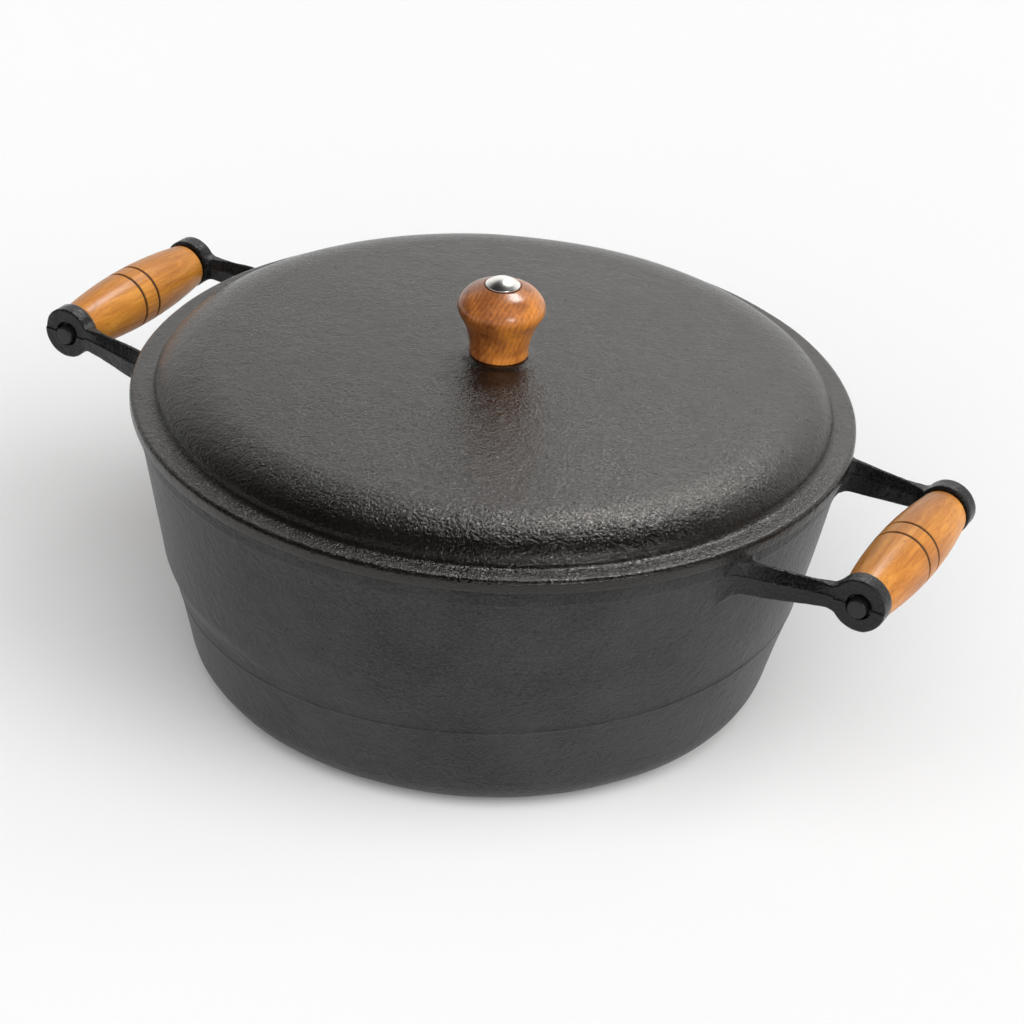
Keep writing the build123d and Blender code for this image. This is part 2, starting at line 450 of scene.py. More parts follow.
def iron_shader(board, dark, light, pebble, depth, roughness, gloss, sheen_tint=(1.0, 1.0, 1.0)):
    """Seasoned cast iron, clouded between a dark and a light colour and pitted, its pits darkened with
    painted shade. Its pebbled skin has that size and depth in millimetres."""
    where = board.node("ShaderNodeTexCoord", output="Object")
    clouds = board.noise(where, 1 / (38 * mm), 3.0, 0.6)
    speckle = board.noise(where, 1 / (0.9 * mm), 2.0, 0.6)
    pebbles = board.noise(where, 1 / (pebble * mm), 3.5, 0.6, 0.6)
    ripples = board.noise(where, 1 / (pebble * 4.5 * mm), 2.0, 0.5, 0.8)
    pits_with_painted_shade = board.noise(where, 1 / (1.7 * mm), 1.0, 0.4).between(0.70, 0.78)
    mottle = (clouds * 0.35 + speckle * 0.65).between(0.30, 0.70)
    colour = board.mix(mottle, dark, light)
    # Painted shade: the pits are darkened towards a third of the dark colour, as if shade filled them.
    # Their dip in the bump and their roughness are real.
    colour = board.mix(pits_with_painted_shade * 0.7, colour, tuple(0.35 * part for part in dark))
    height = pebbles + ripples * 0.9 - pits_with_painted_shade * 0.2
    normal = board.node("ShaderNodeBump", {}, {"Distance": depth * mm, "Height": height, "Strength": 1.0})
    return skin_shader(board, Base_Color=colour, Roughness=roughness + (clouds - 0.5) * 0.14 + pits_with_painted_shade * 0.1,
                       Specular_IOR_Level=gloss, Specular_Tint=sheen_tint, Normal=normal)


def pot_iron_finish():
    """The pot's casting: even grey on its wall, turning smoother out along its arms, where a blacker colour
    paints in shade.
    """
    material, board = finish_board("seasoned pot iron")
    black = (0.001, 0.001, 0.001)
    wall = iron_shader(board, black, (0.031, 0.0307, 0.0303), pebble=1.2, depth=0.70, roughness=0.32,
                       gloss=0.29)
    # Painted shade: the arms are the same iron as the wall. They get a blacker colour for the shade they
    # show, as well as a smoother, less bumpy skin.
    arms_smoother_and_shaded = iron_shader(board, black, (0.012, 0.012, 0.012), pebble=1.5, depth=0.42, roughness=0.26,
                       gloss=0.28)
    level = board.stretched(board.node("ShaderNodeTexCoord", output="Object"), (1, 1, 0))
    from_axis = board.node("ShaderNodeVectorMath", {"operation": "LENGTH"}, {0: level}, "Value") / mm
    out = from_axis.between(arm_finish_and_shade_start, arm_finish_and_shade_full)
    show(board, board.node("ShaderNodeMixShader", {}, {"Fac": out, 1: wall, 2: arms_smoother_and_shaded}))
    return material


def lid_iron_finish():
    """The lid's casting: nearly black under a warm sheen."""
    material, board = finish_board("seasoned lid iron")
    skin = iron_shader(board, (0.001, 0.0009, 0.0008), (0.006, 0.0053, 0.0045), pebble=1.2, depth=0.40,
                       roughness=0.22, gloss=0.52, sheen_tint=(1.0, 0.95, 0.90))
    show(board, skin)
    return material


def grip_wood_finish():
    """Varnished hardwood with its grain along Y, short dark pores and two burnt grooves."""
    material, board = finish_board("varnished grip wood")
    where = board.node("ShaderNodeTexCoord", output="Object")
    along = board.node("ShaderNodeSeparateXYZ", {}, {0: where}, "Y") / mm
    clouds = board.noise(board.stretched(where, (1, 0.35, 1)), 1 / (16 * mm), 2.0, 0.5)
    streaks = board.noise(board.stretched(where, (1, 0.07, 1)), 1 / (1.6 * mm), 3.0, 0.6, 0.4)
    fibres = board.noise(board.stretched(where, (1, 0.05, 1)), 1 / (0.45 * mm), 2.0, 0.5)
    pores = board.noise(board.stretched(where, (1, 0.16, 1)), 1 / (0.55 * mm), 1.0, 0.4).between(0.64, 0.74)
    tone = clouds * 0.45 + streaks * 0.4 + fibres * 0.15
    colour = board.node("ShaderNodeValToRGB", {"stops": [
        (0.30, (0.260, 0.080, 0.010)), (0.46, (0.450, 0.162, 0.022)), (0.60, (0.610, 0.250, 0.038)),
        (0.74, (0.730, 0.345, 0.068))]}, {"Fac": tone})
    colour = board.mix(pores * 0.45, colour, (0.16, 0.055, 0.014))
    burnt = 0.0
    for place in groove_places:
        burnt = burnt + (1 - abs(along - place).between(groove_radius * 0.75, groove_radius * 1.5))
    colour = board.mix(burnt * 0.93, colour, (0.018, 0.007, 0.004))
    height = fibres * 0.4 + streaks * 0.6 - pores * 0.7
    normal = board.node("ShaderNodeBump", {}, {"Distance": 0.05 * mm, "Height": height, "Strength": 0.7})
    show(board, skin_shader(
        board, Base_Color=colour, Roughness=0.36 + (streaks - 0.5) * 0.12 + burnt * 0.2,
        Specular_IOR_Level=0.30, Coat_Weight=0.05, Coat_Roughness=0.25, Normal=normal))
    return material


def knob_wood_finish():
    """Varnished hardwood, redder, with growth rings about a line beside the knob, and painted shade,
    darkest near that line, which darkens the knob's left side.
    """
    material, board = finish_board("varnished knob wood")
    where = board.node("ShaderNodeTexCoord", output="Object")
    lifted = board.node("ShaderNodeVectorMath", {"operation": "SUBTRACT"}, {
        0: where, 1: (0, 0, knob_low.z * mm)})
    centred = board.node("ShaderNodeMapping", {}, {
        "Vector": lifted, "Location": (0.034, 0.030, 0.0), "Rotation": (0.35, -0.25, 0.0)})
    waver = board.noise(centred, 1 / (14 * mm), 1.5, 0.5)
    across = board.node("ShaderNodeVectorMath", {"operation": "MULTIPLY"}, {0: centred, 1: (1, 1, 0.12)})
    distance = board.node("ShaderNodeVectorMath", {"operation": "LENGTH"}, {0: across}, "Value")
    rings = board.node("ShaderNodeMath", {"operation": "SINE"}, {
        0: distance / (0.30 * mm) + waver * 14.0}) * 0.5 + 0.5
    streaks = board.noise(board.stretched(where, (1, 1, 0.12)), 1 / (1.1 * mm), 3.0, 0.6, 0.3)
    clouds = board.noise(where, 1 / (8 * mm), 3.0, 0.55)
    # Painted shade: the wood is darkened near the ring line. That line lies off the knob towards -X and -Y,
    # its left side in the camera's view.
    painted_left_shade = 1 - distance.between(0.028, 0.050)
    tone = rings ** 2.0 * 0.07 + streaks * 0.32 + clouds * 0.54 + painted_left_shade * 0.22
    colour = board.node("ShaderNodeValToRGB", {"stops": [
        (0.34, (0.640, 0.235, 0.036)), (0.50, (0.440, 0.150, 0.030)), (0.62, (0.270, 0.088, 0.022)),
        (0.80, (0.120, 0.034, 0.010))]}, {"Fac": tone})
    normal = board.node("ShaderNodeBump", {}, {"Distance": 0.04 * mm, "Height": streaks, "Strength": 0.5})
    show(board, skin_shader(
        board, Base_Color=colour, Roughness=0.30 + (streaks - 0.5) * 0.1,
        Specular_IOR_Level=0.3, Coat_Weight=0.25, Coat_Roughness=0.15, Normal=normal))
    return material


def steel(name, colour, roughness, smear, metallic=1.0):
    """Plain or blackened steel with fine scuffs and a shine that clouds by the smear."""
    material, board = finish_board(name)
    where = board.node("ShaderNodeTexCoord", output="Object")
    clouds = board.noise(where, 1 / (5 * mm), 2.0, 0.5)
    scuffs = board.noise(board.stretched(where, (1, 1, 6)), 1 / (0.5 * mm), 3.0, 0.6)
    tint = board.mix(clouds * 0.5 + scuffs * 0.5, tuple(part * 0.8 for part in colour), colour)
    normal = board.node("ShaderNodeBump", {}, {"Distance": 0.02 * mm, "Height": scuffs, "Strength": 0.4})
    show(board, skin_shader(board, Base_Color=tint, Metallic=metallic,
                            Roughness=roughness + (clouds - 0.5) * smear, Normal=normal))
    return material


pot_iron = pot_iron_finish()
lid_iron = lid_iron_finish()
grip_wood = grip_wood_finish()
knob_wood = knob_wood_finish()
rod_steel = steel("blackened rod steel", (0.012, 0.012, 0.013), 0.40, 0.15, metallic=0.3)
polished_steel = steel("polished steel", (0.90, 0.88, 0.85), 0.26, 0.05)
zinc_steel = steel("zinc plated steel", (0.52, 0.53, 0.55), 0.32, 0.12)


# ---------------------------------------------------------------- castings

def quads(shape, rows, closed=False):
    """Skin of quads over rows of points, given in millimetres."""
    grid = [[shape.verts.new(Vector(point) * mm) for point in row] for row in rows]
    count = len(rows[0])
    for low, high in zip(grid, grid[1:]):
        for i in range(count if closed else count - 1):
            shape.faces.new((low[i], low[(i + 1) % count], high[(i + 1) % count], high[i]))
    return grid


def ease(value, low, high):
    t = max(0.0, min(1.0, (value - low) / (high - low)))
    return t * t * (3 - 2 * t)


def wall_and_band_radius(height):
    """Outer radius of the pot where the arms grow out of it, rim band included."""
    return wall_radius(height) + rim_band_proud * ease(height, rim_height - rim_band_height,
                                                       rim_height - rim_band_height + 1.2)


def root_flare(distance, rounding):
    """How much an arm's side has swelled at a distance from the wall."""
    gap = max(0.0, min(rounding, distance))
    return rounding - sqrt(rounding ** 2 - (rounding - gap) ** 2)


class ArmEdge:
    """The upper or lower edge line of an arm in side view, with its fillet onto the boss."""

    def __init__(self, height, slope, side, rounding):
        self.centre = Vector((handle_reach, boss_height))
        self.slope = slope
        self.height = height
        self.along = Vector((1, slope)).normalized()
        self.outward = Vector((-slope, 1)).normalized() * side
        start = Vector((arm_end, height))
        inside = (self.centre - start).dot(self.outward)
        reach = boss_radius + rounding
        back = sqrt(reach ** 2 - (rounding - inside) ** 2)
        self.fillet = self.centre - self.along * back + self.outward * (rounding - inside)
        self.on_boss = self.centre + (self.fillet - self.centre) * boss_radius / reach
        self.on_line = self.fillet - self.outward * rounding
        self.rounding = rounding
        touch = self.on_boss - self.centre
        self.angle = atan2(touch.y, touch.x) % (2 * pi)

    def fillet_point(self, share):
        """Point and inward direction on the fillet, from the boss at 0 to the straight edge at 1."""
        first = (self.on_boss - self.fillet).normalized()
        last = (self.on_line - self.fillet).normalized()
        inward = (first * (1 - share) + last * share).normalized()
        return self.fillet + inward * self.rounding, inward

    def line_point(self, x):
        return Vector((x, self.height + self.slope * (x - arm_end))), -self.outward


upper_edge = ArmEdge(arm_top_height, 0.0, 1, 4.0)
lower_edge = ArmEdge(arm_bottom_height, arm_bottom_slope, -1, 5.0)

parting_gap = 0.12
upper_setback = 0.60
upper_draft = 0.52
lower_draft = 0.12
root_fillets = {"outer": 4.5, "inner": 4.5, "top": 1.8, "bottom": 6.0}


def parting_height(x):
    """Height of the mould's parting line along an arm."""
    near_boss = ease(x, arm_end - 10, handle_reach)
    return 113.6 - 0.045 * (arm_end - x) - (113.6 - boss_height) * near_boss


def face_level(x, z, above, outer):
    """How far out from the middle plane one face of an arm or boss is."""
    out = arm_end - 4 - x
    draft = upper_draft if above else lower_draft
    slimming = draft * abs(z - parting_height(x)) * ease(out, 0, 12)
    setback = upper_setback if above else 0.0
    if outer:
        return boss_outer_face + arm_outer_spread * max(0.0, out) - slimming - setback
    past_boss = hypot(x - handle_reach, z - boss_height) - boss_radius
    inner_face = boss_inner_face + (arm_inner_face - boss_inner_face) * ease(past_boss, 0.05, 1.6)
    return inner_face + arm_inner_spread * max(0.0, out) + slimming + setback * 0.6


def arm_stations():
    """Columns of an arm from boss to root. Each has its upper and lower point with the inward
    directions there, how far it is from the wall, and how much its run bulges round the boss."""
    columns = []
    fillet_steps = 6
    for i in range(fillet_steps + 1):
        share = i / fillet_steps
        columns.append((upper_edge.fillet_point(share), lower_edge.fillet_point(share), None,
                        (1 - share) ** 2))
    start = min(upper_edge.on_line.x, lower_edge.on_line.x) - 0.8
    middle = (boss_outer_face + arm_inner_face) / 2 + 3
    wall_x = sqrt(wall_and_band_radius(handle_height) ** 2 - middle ** 2)
    root_distances = [9.0, 7.6, 6.4, 5.4, 4.5, 3.7, 3.0, 2.4, 1.8, 1.3, 0.9, 0.5, 0.2, 0.0, -1.2, -2.6]
    straight = 24
    last = wall_x + root_distances[0] + 1.2
    for i in range(straight + 1):
        x = start + (last - start) * i / straight
        columns.append((upper_edge.line_point(x), lower_edge.line_point(x), x - wall_x, 0.0))
    for distance in root_distances:
        x = wall_x + distance
        columns.append((upper_edge.line_point(x), lower_edge.line_point(x), distance, 0.0))
    return columns


def arm_mesh(seat_shift, seed):
    """One cast arm with its boss at the +X, +Y corner, as a closed mesh."""
    shape = bmesh.new()
    upper_lines, lower_lines = 7, 9
    split = radians(1.1)
    attached = [upper_edge.angle + (pi - split - upper_edge.angle) * i / (upper_lines - 1)
                for i in range(upper_lines)]
    attached += [pi + split + (lower_edge.angle - pi - split) * i / (lower_lines - 1)
                 for i in range(lower_lines)]
    free_steps = 26
    free = [lower_edge.angle + (2 * pi - split - lower_edge.angle) * i / free_steps
            for i in range(free_steps + 1)]
    free += [2 * pi + split + (upper_edge.angle - split) * i / free_steps for i in range(free_steps + 1)]
    ring = attached + free[1:-1]
    above = [sin(angle) > 0 for angle in ring]
    centre = Vector((handle_reach, boss_height))
    rod_axis = Vector((handle_reach, handle_height))
    seat_axis = centre + Vector(seat_shift)
    columns = arm_stations()

    def placed(x, z, is_above, outer, distance, depth=0.0):
        """A point on an arm's face, swelled and curved to the wall near its root."""
        y = face_level(x, z, is_above, outer)
        if distance is not None:
            swell = root_flare(distance, root_fillets["outer" if outer else "inner"])
            y += swell if outer else -swell
        y += -depth if outer else depth
        if distance is not None and distance < 14:
            on_wall = sqrt((wall_and_band_radius(z) + distance) ** 2 - y ** 2)
            x += (on_wall - x) * ease(14 - distance, 0, 8)
        return (x, y, z)

    def edge_point(column, top, inset):
        """A point of the upper or lower edge of a column, moved in by an inset."""
        (high, high_in), (low, low_in), distance, _ = column
        point, inward = (high, high_in) if top else (low, low_in)
        swell = 0.0 if distance is None else root_flare(
            distance, root_fillets["top" if top else "bottom"])
        return point + inward * (inset - swell)

    def column_run(column):
        """Face points of a column from its upper edge to its lower edge, as x, z and side of parting."""
        high = edge_point(column, True, boss_rounding)
        low = edge_point(column, False, boss_rounding)
        bulge = column[3] * boss_radius * 0.19
        x_middle = (high.x + low.x) / 2
        parting = parting_height(x_middle)
        above_parting, below_parting = parting + parting_gap, parting - parting_gap
        run = [(high.y + (above_parting - high.y) * (i / (upper_lines - 1)), True)
               for i in range(upper_lines)]
        run += [(below_parting + (low.y - below_parting) * (i / (lower_lines - 1)), False)
                for i in range(lower_lines)]
        points = []
        for z, is_above in run:
            t = (high.y - z) / (high.y - low.y)
            x = high.x + (low.x - high.x) * t - bulge * 4 * t * (1 - t)
            points.append((x, z, is_above))
        return points

    rim_angles = [i * pi / 2 / 4 for i in range(5)]
    rim_levels = [(boss_rounding * (1 - sin(a)), boss_rounding * (1 - cos(a))) for a in rim_angles]

    for outer in (True, False):
        rows = []
        hole = rod_seat_radius + 0.35 if outer else rod_radius + 0.4
        hole_axis = seat_axis if outer else rod_axis
        for i in range(7):
            t = i / 6
            radius = hole + (boss_radius - boss_rounding - hole) * t
            middle = hole_axis.lerp(centre, t)
            rows.append([placed(middle.x + radius * cos(a), middle.y + radius * sin(a), up, outer, None)
                         for a, up in zip(ring, above)])
        quads(shape, rows, closed=True)
        first = [placed(centre.x + (boss_radius - boss_rounding) * cos(a),
                        centre.y + (boss_radius - boss_rounding) * sin(a), sin(a) > 0, outer, None)
                 for a in attached]
        rows = [first]
        for column in columns[1:]:
            rows.append([placed(x, z, up, outer, column[2]) for x, z, up in column_run(column)])
        quads(shape, rows)

    def rim_row(point_at, is_above, distance):
        """One row across the rim, from the outer face to the inner face."""
        row, back = ([placed(*point_at(inset), is_above, outer, distance, depth)
                      for inset, depth in rim_levels] for outer in (True, False))
        start, end = Vector(row[-1]), Vector(back[-1])
        row += [tuple(start.lerp(end, i / 5)) for i in range(1, 5)]
        return row + back[::-1]

    rim_rows = [rim_row(lambda inset, c=column: edge_point(c, False, inset), False, column[2])
                for column in reversed(columns[1:])]
    rim_rows += [rim_row(lambda inset, a=angle: centre + Vector((cos(a), sin(a))) * (boss_radius - inset),
                         sin(angle) > 0, None) for angle in free]
    rim_rows += [rim_row(lambda inset, c=column: edge_point(c, True, inset), True, column[2])
                 for column in columns[1:]]
    quads(shape, rim_rows)

    wells = []
    bore = rod_radius + 0.05
    for radius, drop, seated in ((rod_seat_radius + 0.35, 0, 1), (rod_seat_radius + 0.1, 0.1, 1),
                                 (rod_seat_radius, 0.35, 1), (rod_seat_radius, 1.2, 1),
                                 (rod_seat_radius, rod_seat_depth, 1), (bore, rod_seat_depth, 0)):
        middle = seat_axis if seated else rod_axis
        wells.append([Vector(placed(middle.x + radius * cos(a), middle.y + radius * sin(a), up, True, None))
                      - Vector((0, drop, 0)) for a, up in zip(ring, above)])
    for radius, drop in ((bore, 0.4), (bore + 0.1, 0.1), (rod_radius + 0.4, 0)):
        wells.append([Vector(placed(rod_axis.x + radius * cos(a), rod_axis.y + radius * sin(a), up, False,
                                    None)) + Vector((0, drop, 0)) for a, up in zip(ring, above)])
    quads(shape, wells, closed=True)

    bmesh.ops.remove_doubles(shape, verts=shape.verts, dist=0.002 * mm)
    bmesh.ops.holes_fill(shape, edges=[edge for edge in shape.edges if edge.is_boundary], sides=0)
    bmesh.ops.recalc_face_normals(shape, faces=shape.faces)
    shape.normal_update()
    roughen_arm(shape, seed)
    mesh = bpy.data.meshes.new("arm")
    shape.to_mesh(mesh)
    shape.free()
    return mesh


def roughen_arm(shape, seed):
    """Sand-cast roughness: long soft waves everywhere, and lumps in the fillet at the root."""
    offset = Vector((seed * 7.3, seed * 3.1, seed * 5.7))
    moves = []
    for vert in shape.verts:
        place = vert.co / mm
        wave = noise.noise(place * 0.14 + offset) * 0.16 + noise.noise(place * 0.45 + offset) * 0.09
        from_wall = hypot(place.x, place.y) - wall_and_band_radius(place.z)
        lumps = noise.noise(place * 0.6 + offset) * 0.3 * (1 - ease(from_wall, 1.0, 8.0))
        spare = hypot(place.x - handle_reach, place.z - boss_height)
        keep = ease(spare, rod_seat_radius + 0.5, rod_seat_radius + 2.0)
        moves.append(vert.normal * (wave + lumps) * keep * mm)
    for vert, move in zip(shape.verts, moves):
        vert.co += move


def finish_wall(mesh):
    """The base is ground flat, the step in the wall dies away from the left side, and a faint raised
    line runs round the wall, a little out of level."""
    ground_to, ground_from = 0.3, 1.5
    level, tilt, proud, half_width = 44.0, 0.0437, 0.26, 0.75
    top, foot = 76.0, 20.0
    rightwards = Vector((0.898, 0.439))
    even_from, stepped_from = 0.45, 0.88
    outline = [(r, z) for r, z in pot_profile() if foot - 5 < z < top + 5 and r > wall_radius(z) - 2.6]
    for vert in mesh.vertices:
        place = vert.co / mm
        if place.z < ground_from:
            vert.co.z = place.z * ease(place.z, ground_to, ground_from) * mm
        radius = hypot(place.x, place.y)
        if not foot < place.z < top:
            continue
        (r_low, z_low), (r_high, z_high) = next(
            pair for pair in zip(outline, outline[1:]) if pair[1][1] >= place.z)
        stepped = r_low + (r_high - r_low) * (place.z - z_low) / (z_high - z_low)
        on_inside = radius < stepped - wall_thickness / 2
        if on_inside:
            continue
        offset = place.z - level - rightwards.dot(place.xy) * tilt
        move = proud * max(0.0, 1 - (offset / half_width) ** 2)
        t = (place.z - foot) / (top - foot)
        run = top - foot
        even = ((2 * t ** 3 - 3 * t ** 2 + 1) * wall_radius(foot) + (t ** 3 - 2 * t ** 2 + t) * run
                * lower_wall_slope + (3 * t ** 2 - 2 * t ** 3) * wall_radius(top)
                + (t ** 3 - t ** 2) * run * upper_wall_slope)
        leftness = -rightwards.dot(place.xy) / radius
        move += (even - stepped) * (1 - ease(leftness, even_from, stepped_from))
        vert.co += Vector((place.x, place.y, 0)) / radius * move * mm


def make_pot():
    """The pot with its four arms. Each arm has its side, its seed and how far its rod seat is off."""
    pot = turn("pot_casting", pot_profile(), pot_iron, steps=256, unevenness=0.9, patch=42.0, seed=2.0)
    finish_wall(pot.data)
    shape = bmesh.new()
    shape.from_mesh(pot.data)
    corners = ((1, -1, 1.0, (0.35, 0.0)), (1, 1, 2.0, (0.2, -0.1)),
               (-1, -1, 3.0, (-0.4, 0.0)), (-1, 1, 4.0, (0.1, 0.1)))
    for side_x, side_y, seed, seat_shift in corners:
        arm = arm_mesh(seat_shift, seed)
        arm.transform(Matrix.Diagonal((side_x, side_y, 1, 1)))
        if side_x * side_y < 0:
            arm.flip_normals()
        for face in arm.polygons:
            face.use_smooth = True
        shape.from_mesh(arm)
        bpy.data.meshes.remove(arm)
    shape.to_mesh(pot.data)
    shape.free()
    pot.data.set_sharp_from_angle(angle=radians(42))
    return pot


def make_lid():
    lid = turn("lid_casting", lid_profile(), lid_iron, steps=300, unevenness=0.7, patch=48.0, seed=5.0)
    lid.data.set_sharp_from_angle(angle=radians(50))
    return lid


# ---------------------------------------------------------------- wood and steel

def lay_along_y(piece, x):
    """Lay a piece turned about Z on its side, with its axis along Y through a handle's rod."""
    place = Matrix.Translation((x * mm, 0, handle_height * mm)) @ Matrix.Rotation(-pi / 2, 4, "X")
    piece.data.transform(place)


def grip_profile():
    """A barrel with a bore and two turned grooves."""
    half = grip_high.y
    bore = rod_radius + 0.08
    drop = grip_middle_radius - grip_end_radius

    def barrel(z):
        return grip_middle_radius - drop * (z / half) ** 2

    side = []
    steps = 44
    for i in range(1, steps):
        z = -half + 2 * half * i / steps
        if all(abs(z - place) > groove_radius * 1.7 for place in groove_places):
            side.append((z, barrel(z)))
    for place in groove_places:
        for i in range(-6, 7):
            z = place + groove_radius * 1.25 * i / 6
            bite = max(0.0, 1 - (i / 5.5) ** 2) ** 0.5 * groove_radius
            side.append((z, barrel(z) - bite))
    side.sort()
    corners = [(bore, -half, 0.3), (grip_end_radius, -half, 1.1)]
    corners += [(r, z, 0) for z, r in side]
    corners += [(grip_end_radius, half, 1.1), (bore, half, 0.3)]
    return divided(rounded(corners, 6, closed=True), 2.0)


def make_grip(name, x, seed):
    grip = turn(name, grip_profile(), grip_wood, steps=96, unevenness=0.12, patch=12.0, seed=seed)
    lay_along_y(grip, x)
    grip.data.set_sharp_from_angle(angle=radians(50))
    return grip


def make_rod(name, x):
    half = rod_high.y
    corners = [(0, -half, 0), (rod_radius, -half, 0.8), (rod_radius, half, 0.8), (0, half, 0)]
    rod = turn(name, divided(rounded(corners, 5), 2.0), rod_steel, steps=64, unevenness=0.1, patch=3.0)
    lay_along_y(rod, x)
    return rod


def make_knob():
    height = knob_high.z - knob_low.z
    knots = [(12.3, 0.0), (12.4, 0.15 * height), (14.3, 0.40 * height), (18.1, 0.68 * height),
             (14.6, 0.89 * height), (8.0, height)]
    side = [(r, knob_low.z + z, 0) for r, z in flowing(knots, 9)][1:-1]
    corners = [(bolt_hole_radius, knob_low.z, 0.2), (12.3, knob_low.z, 0.5), *side,
               (head_recess_radius, knob_high.z, 0.35), (head_recess_radius, recess_floor, 0.2),
               (bolt_hole_radius, recess_floor, 0.2)]
    knob = turn("knob_turning", divided(rounded(corners, 5, closed=True), 1.2), knob_wood, steps=128,
                unevenness=0.06, patch=10.0)
    knob.data.set_sharp_from_angle(angle=radians(50))
    return knob


def make_bolt():
    """Mushroom headed bolt, its thread cut as a helix on the lower end of its shank."""
    head_radius, rim, pitch, shank, thread_depth = 7.15, 1.4, 1.0, 3.0, 0.55
    row = pitch / 8
    thread_top = washer_low.z + 2
    shank_line = [(0, bolt_low.z), (shank - 0.5, bolt_low.z), (shank, bolt_low.z + 0.5)]
    thread_rows = int((thread_top - bolt_low.z) / row)
    shank_line += [(shank, bolt_low.z + 0.5 + row * i) for i in range(1, thread_rows)]
    rim_top = recess_floor + rim
    dome_edge = (head_radius - 0.9, rim_top + 0.62)
    head = rounded([(shank, thread_top + 2, 0), (shank, recess_floor, 0.3),
                    (head_radius, recess_floor, 0.3), (head_radius, rim_top, 0.45), (*dome_edge, 0)])
    dome = cap_arc(*dome_edge, bolt_high.z, 14)
    bolt = turn("knob_bolt_steel", shank_line + head + dome, polished_steel, steps=96)
    for vert in bolt.data.vertices:
        place = vert.co / mm
        radius = hypot(place.x, place.y)
        if radius < shank - 0.6 or place.z > thread_top:
            continue
        turn_share = (place.z / pitch - atan2(place.y, place.x) / (2 * pi)) % 1.0
        cut = thread_depth * abs(2 * turn_share - 1) * ease(thread_top - place.z, 0, 1.5)
        vert.co.x *= 1 - cut / radius
        vert.co.y *= 1 - cut / radius
    bolt.data.set_sharp_from_angle(angle=radians(50))
    return bolt


def make_washer():
    low, high, edge = washer_low.z, washer_high.z, washer_high.x
    corners = [(bolt_hole_radius, low, 0.25), (edge, low, 0.3), (edge, high, 0.2),
               (bolt_hole_radius, high, 0.2)]
    return turn("knob_washer_zinc", divided(rounded(corners, 4, closed=True), 1.5), zinc_steel, steps=96,
                unevenness=0.05, patch=5.0)


def make_nut():
    """Hexagon nut, its corners turned down to a cone at both ends."""
    steps, across_flats, bore, cone = 96, 10.0, 3.02, 0.9
    low, high = nut_low.z, nut_high.z
    corner_radius = across_flats / 2 / cos(pi / 6)
    shape = bmesh.new()

    def ring(z, radius_at):
        return [(radius_at(a) * cos(a), radius_at(a) * sin(a), z)
                for a in (2 * pi * i / steps for i in range(steps))]

    def hexagon(angle):
        beside = (angle % (pi / 3)) - pi / 6
        return across_flats / 2 / cos(beside)

    def cone_row(z, drop):
        return ring(z, lambda a: min(hexagon(a), corner_radius - drop * 0.9))

    drops = [cone * i / 4 for i in range(5)]
    rows = [ring(low, lambda a: bore + 0.3), ring(low, lambda a: across_flats / 2 - 0.15)]
    rows += [cone_row(low + cone - drop + 0.03, drop) for drop in reversed(drops)]
    rows += [cone_row(high - cone + drop - 0.03, drop) for drop in drops]
    rows += [ring(high, lambda a: across_flats / 2 - 0.15), ring(high, lambda a: bore + 0.3),
             ring(high - 0.3, lambda a: bore), ring(low + 0.3, lambda a: bore),
             ring(low, lambda a: bore + 0.3)]
    quads(shape, rows, closed=True)
    bmesh.ops.remove_doubles(shape, verts=shape.verts, dist=0.002 * mm)
    bmesh.ops.recalc_face_normals(shape, faces=shape.faces)
    mesh = bpy.data.meshes.new("knob_nut_zinc")
    shape.to_mesh(mesh)
    shape.free()
    mesh.materials.append(zinc_steel)
    nut = bpy.data.objects.new("knob_nut_zinc", mesh)
    bpy.context.scene.collection.objects.link(nut)
    for face in mesh.polygons:
        face.use_smooth = True
    mesh.set_sharp_from_angle(angle=radians(35))
    return nut


# ---------------------------------------------------------------- pieces on their bodies

pieces = (
    (make_pot(), "root", "pot", "pot_iron"),
    (make_lid(), "lid", "lid", "lid_iron"),
    (make_knob(), "lid", "knob", "knob_wood"),
    (make_bolt(), "lid", "knob_bolt", "polished_steel"),
    (make_washer(), "lid", "knob_washer", "zinc_steel"),
    (make_nut(), "lid", "knob_nut", "zinc_steel"),
    (make_grip("left_grip_turning", -handle_reach, 3.0), "left_grip", "left_grip", "grip_wood"),
    (make_grip("right_grip_turning", handle_reach, 6.0), "right_grip", "right_grip", "grip_wood"),
    (make_rod("left_rod_steel", -handle_reach), "root", "left_grip_rod", "rod_steel"),
    (make_rod("right_rod_steel", handle_reach), "root", "right_grip_rod", "rod_steel"),
)
for piece, body, node, slot in pieces:
    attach(piece, body)
    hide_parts(node)


# ---------------------------------------------------------------- floor, lights and camera

def make_floor():
    """Pale floor, seen from above only, so that the underside can be looked at too."""
    material, board = finish_board("pale floor")
    where = board.node("ShaderNodeTexCoord", output="Object")
    clouds = board.noise(where, 2.0, 2.0)
    colour = board.mix(clouds, (0.86, 0.86, 0.86), (0.88, 0.88, 0.88))
    top = board.node("ShaderNodeBsdfDiffuse", {}, {"Color": colour})
    below = board.node("ShaderNodeBsdfTransparent")
    backfacing = board.node("ShaderNodeNewGeometry", output="Backfacing")
    show(board, board.node("ShaderNodeMixShader", {}, {"Fac": backfacing, 1: top, 2: below}))
    mesh = bpy.data.meshes.new("floor")
    half = 12.0
    mesh.from_pydata([(-half, -half, 0), (half, -half, 0), (half, half, 0), (-half, half, 0)], [],
                     [(0, 1, 2, 3)])
    mesh.materials.append(material)
    floor = bpy.data.objects.new("floor", mesh)
    bpy.context.scene.collection.objects.link(floor)


camera_azimuth, camera_elevation, camera_roll = radians(26.06), radians(30.95), radians(5.06)
camera_distance = 1.1151
camera_target = Vector((0.0401, 0.0196, 0.060))
camera_lens = 91.7
camera_shift = (-0.0778, 0.0195)


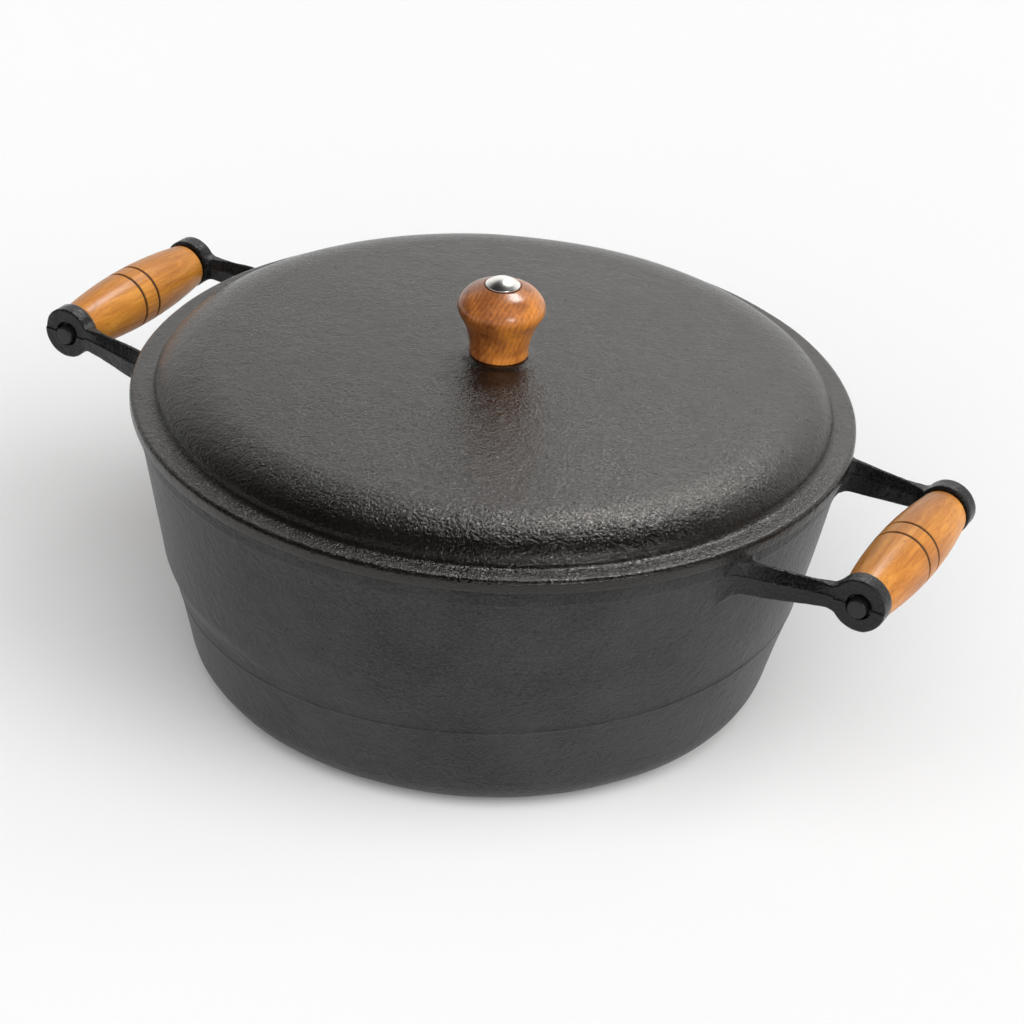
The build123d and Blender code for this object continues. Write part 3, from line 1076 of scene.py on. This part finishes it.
def make_camera():
    right = Vector((cos(camera_azimuth), sin(camera_azimuth), 0))
    back = Vector((sin(camera_azimuth) * cos(camera_elevation),
                   -cos(camera_azimuth) * cos(camera_elevation), sin(camera_elevation)))
    up = back.cross(right)
    side = right * cos(camera_roll) + up * sin(camera_roll)
    top = up * cos(camera_roll) - right * sin(camera_roll)
    place = Matrix((side, top, back)).transposed().to_4x4()
    place.translation = camera_target + back * camera_distance
    lens = bpy.data.cameras.new("camera")
    lens.lens = camera_lens
    lens.shift_x, lens.shift_y = camera_shift
    camera = bpy.data.objects.new("camera", lens)
    camera.matrix_world = place
    bpy.context.scene.collection.objects.link(camera)
    bpy.context.scene.camera = camera


def soft_light(name, place, size, power, target=(0, 0, 0.08)):
    """A square soft light aimed at the pot, for highlights only."""
    light = bpy.data.lights.new(name, "AREA")
    light.shape = "SQUARE"
    light.size = size
    light.energy = power
    lamp = bpy.data.objects.new(name, light)
    lamp.location = place
    lamp.rotation_mode = "QUATERNION"
    lamp.rotation_quaternion = (Vector(target) - Vector(place)).to_track_quat("-Z", "Y")
    lamp.visible_diffuse = False
    bpy.context.scene.collection.objects.link(lamp)


def sky_light(name, beside, height, spread, strength):
    """Even light from one part of the room, turned from the camera's side by an angle to the right
    and raised by a height. It adds no highlights."""
    light = bpy.data.lights.new(name, "SUN")
    light.angle = spread
    light.energy = strength
    lamp = bpy.data.objects.new(name, light)
    azimuth = camera_azimuth + beside
    towards = Vector((sin(azimuth) * cos(height), -cos(azimuth) * cos(height), sin(height)))
    lamp.rotation_mode = "QUATERNION"
    lamp.rotation_quaternion = (-towards).to_track_quat("-Z", "Y")
    lamp.visible_glossy = False
    bpy.context.scene.collection.objects.link(lamp)


def make_studio():
    """A pale room that is bright behind and above the pot and darker on the side of the viewer."""
    world = bpy.data.worlds.new("studio")
    world.use_nodes = True
    world.node_tree.nodes.clear()
    board = Board(world.node_tree)
    bright_azimuth = camera_azimuth - radians(12)
    behind = (-sin(bright_azimuth), cos(bright_azimuth), 0)
    direction = board.node("ShaderNodeTexCoord", output="Generated")
    facing = board.node("ShaderNodeVectorMath", {"operation": "DOT_PRODUCT"}, {
        0: direction, 1: behind}, "Value")
    height = board.node("ShaderNodeSeparateXYZ", {}, {0: direction}, "Z")
    share = facing.between(0.0, 0.85) * (1 - height.between(0.60, 0.88))
    colour = board.mix(share, (0.012, 0.012, 0.012), (1.18, 1.17, 1.15))
    shader = board.node("ShaderNodeBackground", {}, {"Color": colour, "Strength": 1.0})
    board.node("ShaderNodeOutputWorld", {}, {"Surface": shader})
    bpy.context.scene.world = world
    world.cycles_visibility.diffuse = False
    soft_light("overhead", (0.0, 1.15, 2.05), 0.60, 30)
    soft_light("window", (1.3, -0.85, 0.75), 0.45, 9)
    sky_light("front_sky", radians(10), radians(38), radians(110), 4.05)
    sky_light("right_sky", radians(84), radians(32), radians(70), 1.3)
    sky_light("upper_sky", radians(190), radians(75), radians(120), 0.3)
    bpy.context.scene.view_settings.view_transform = "Standard"


make_floor()
make_camera()
make_studio()
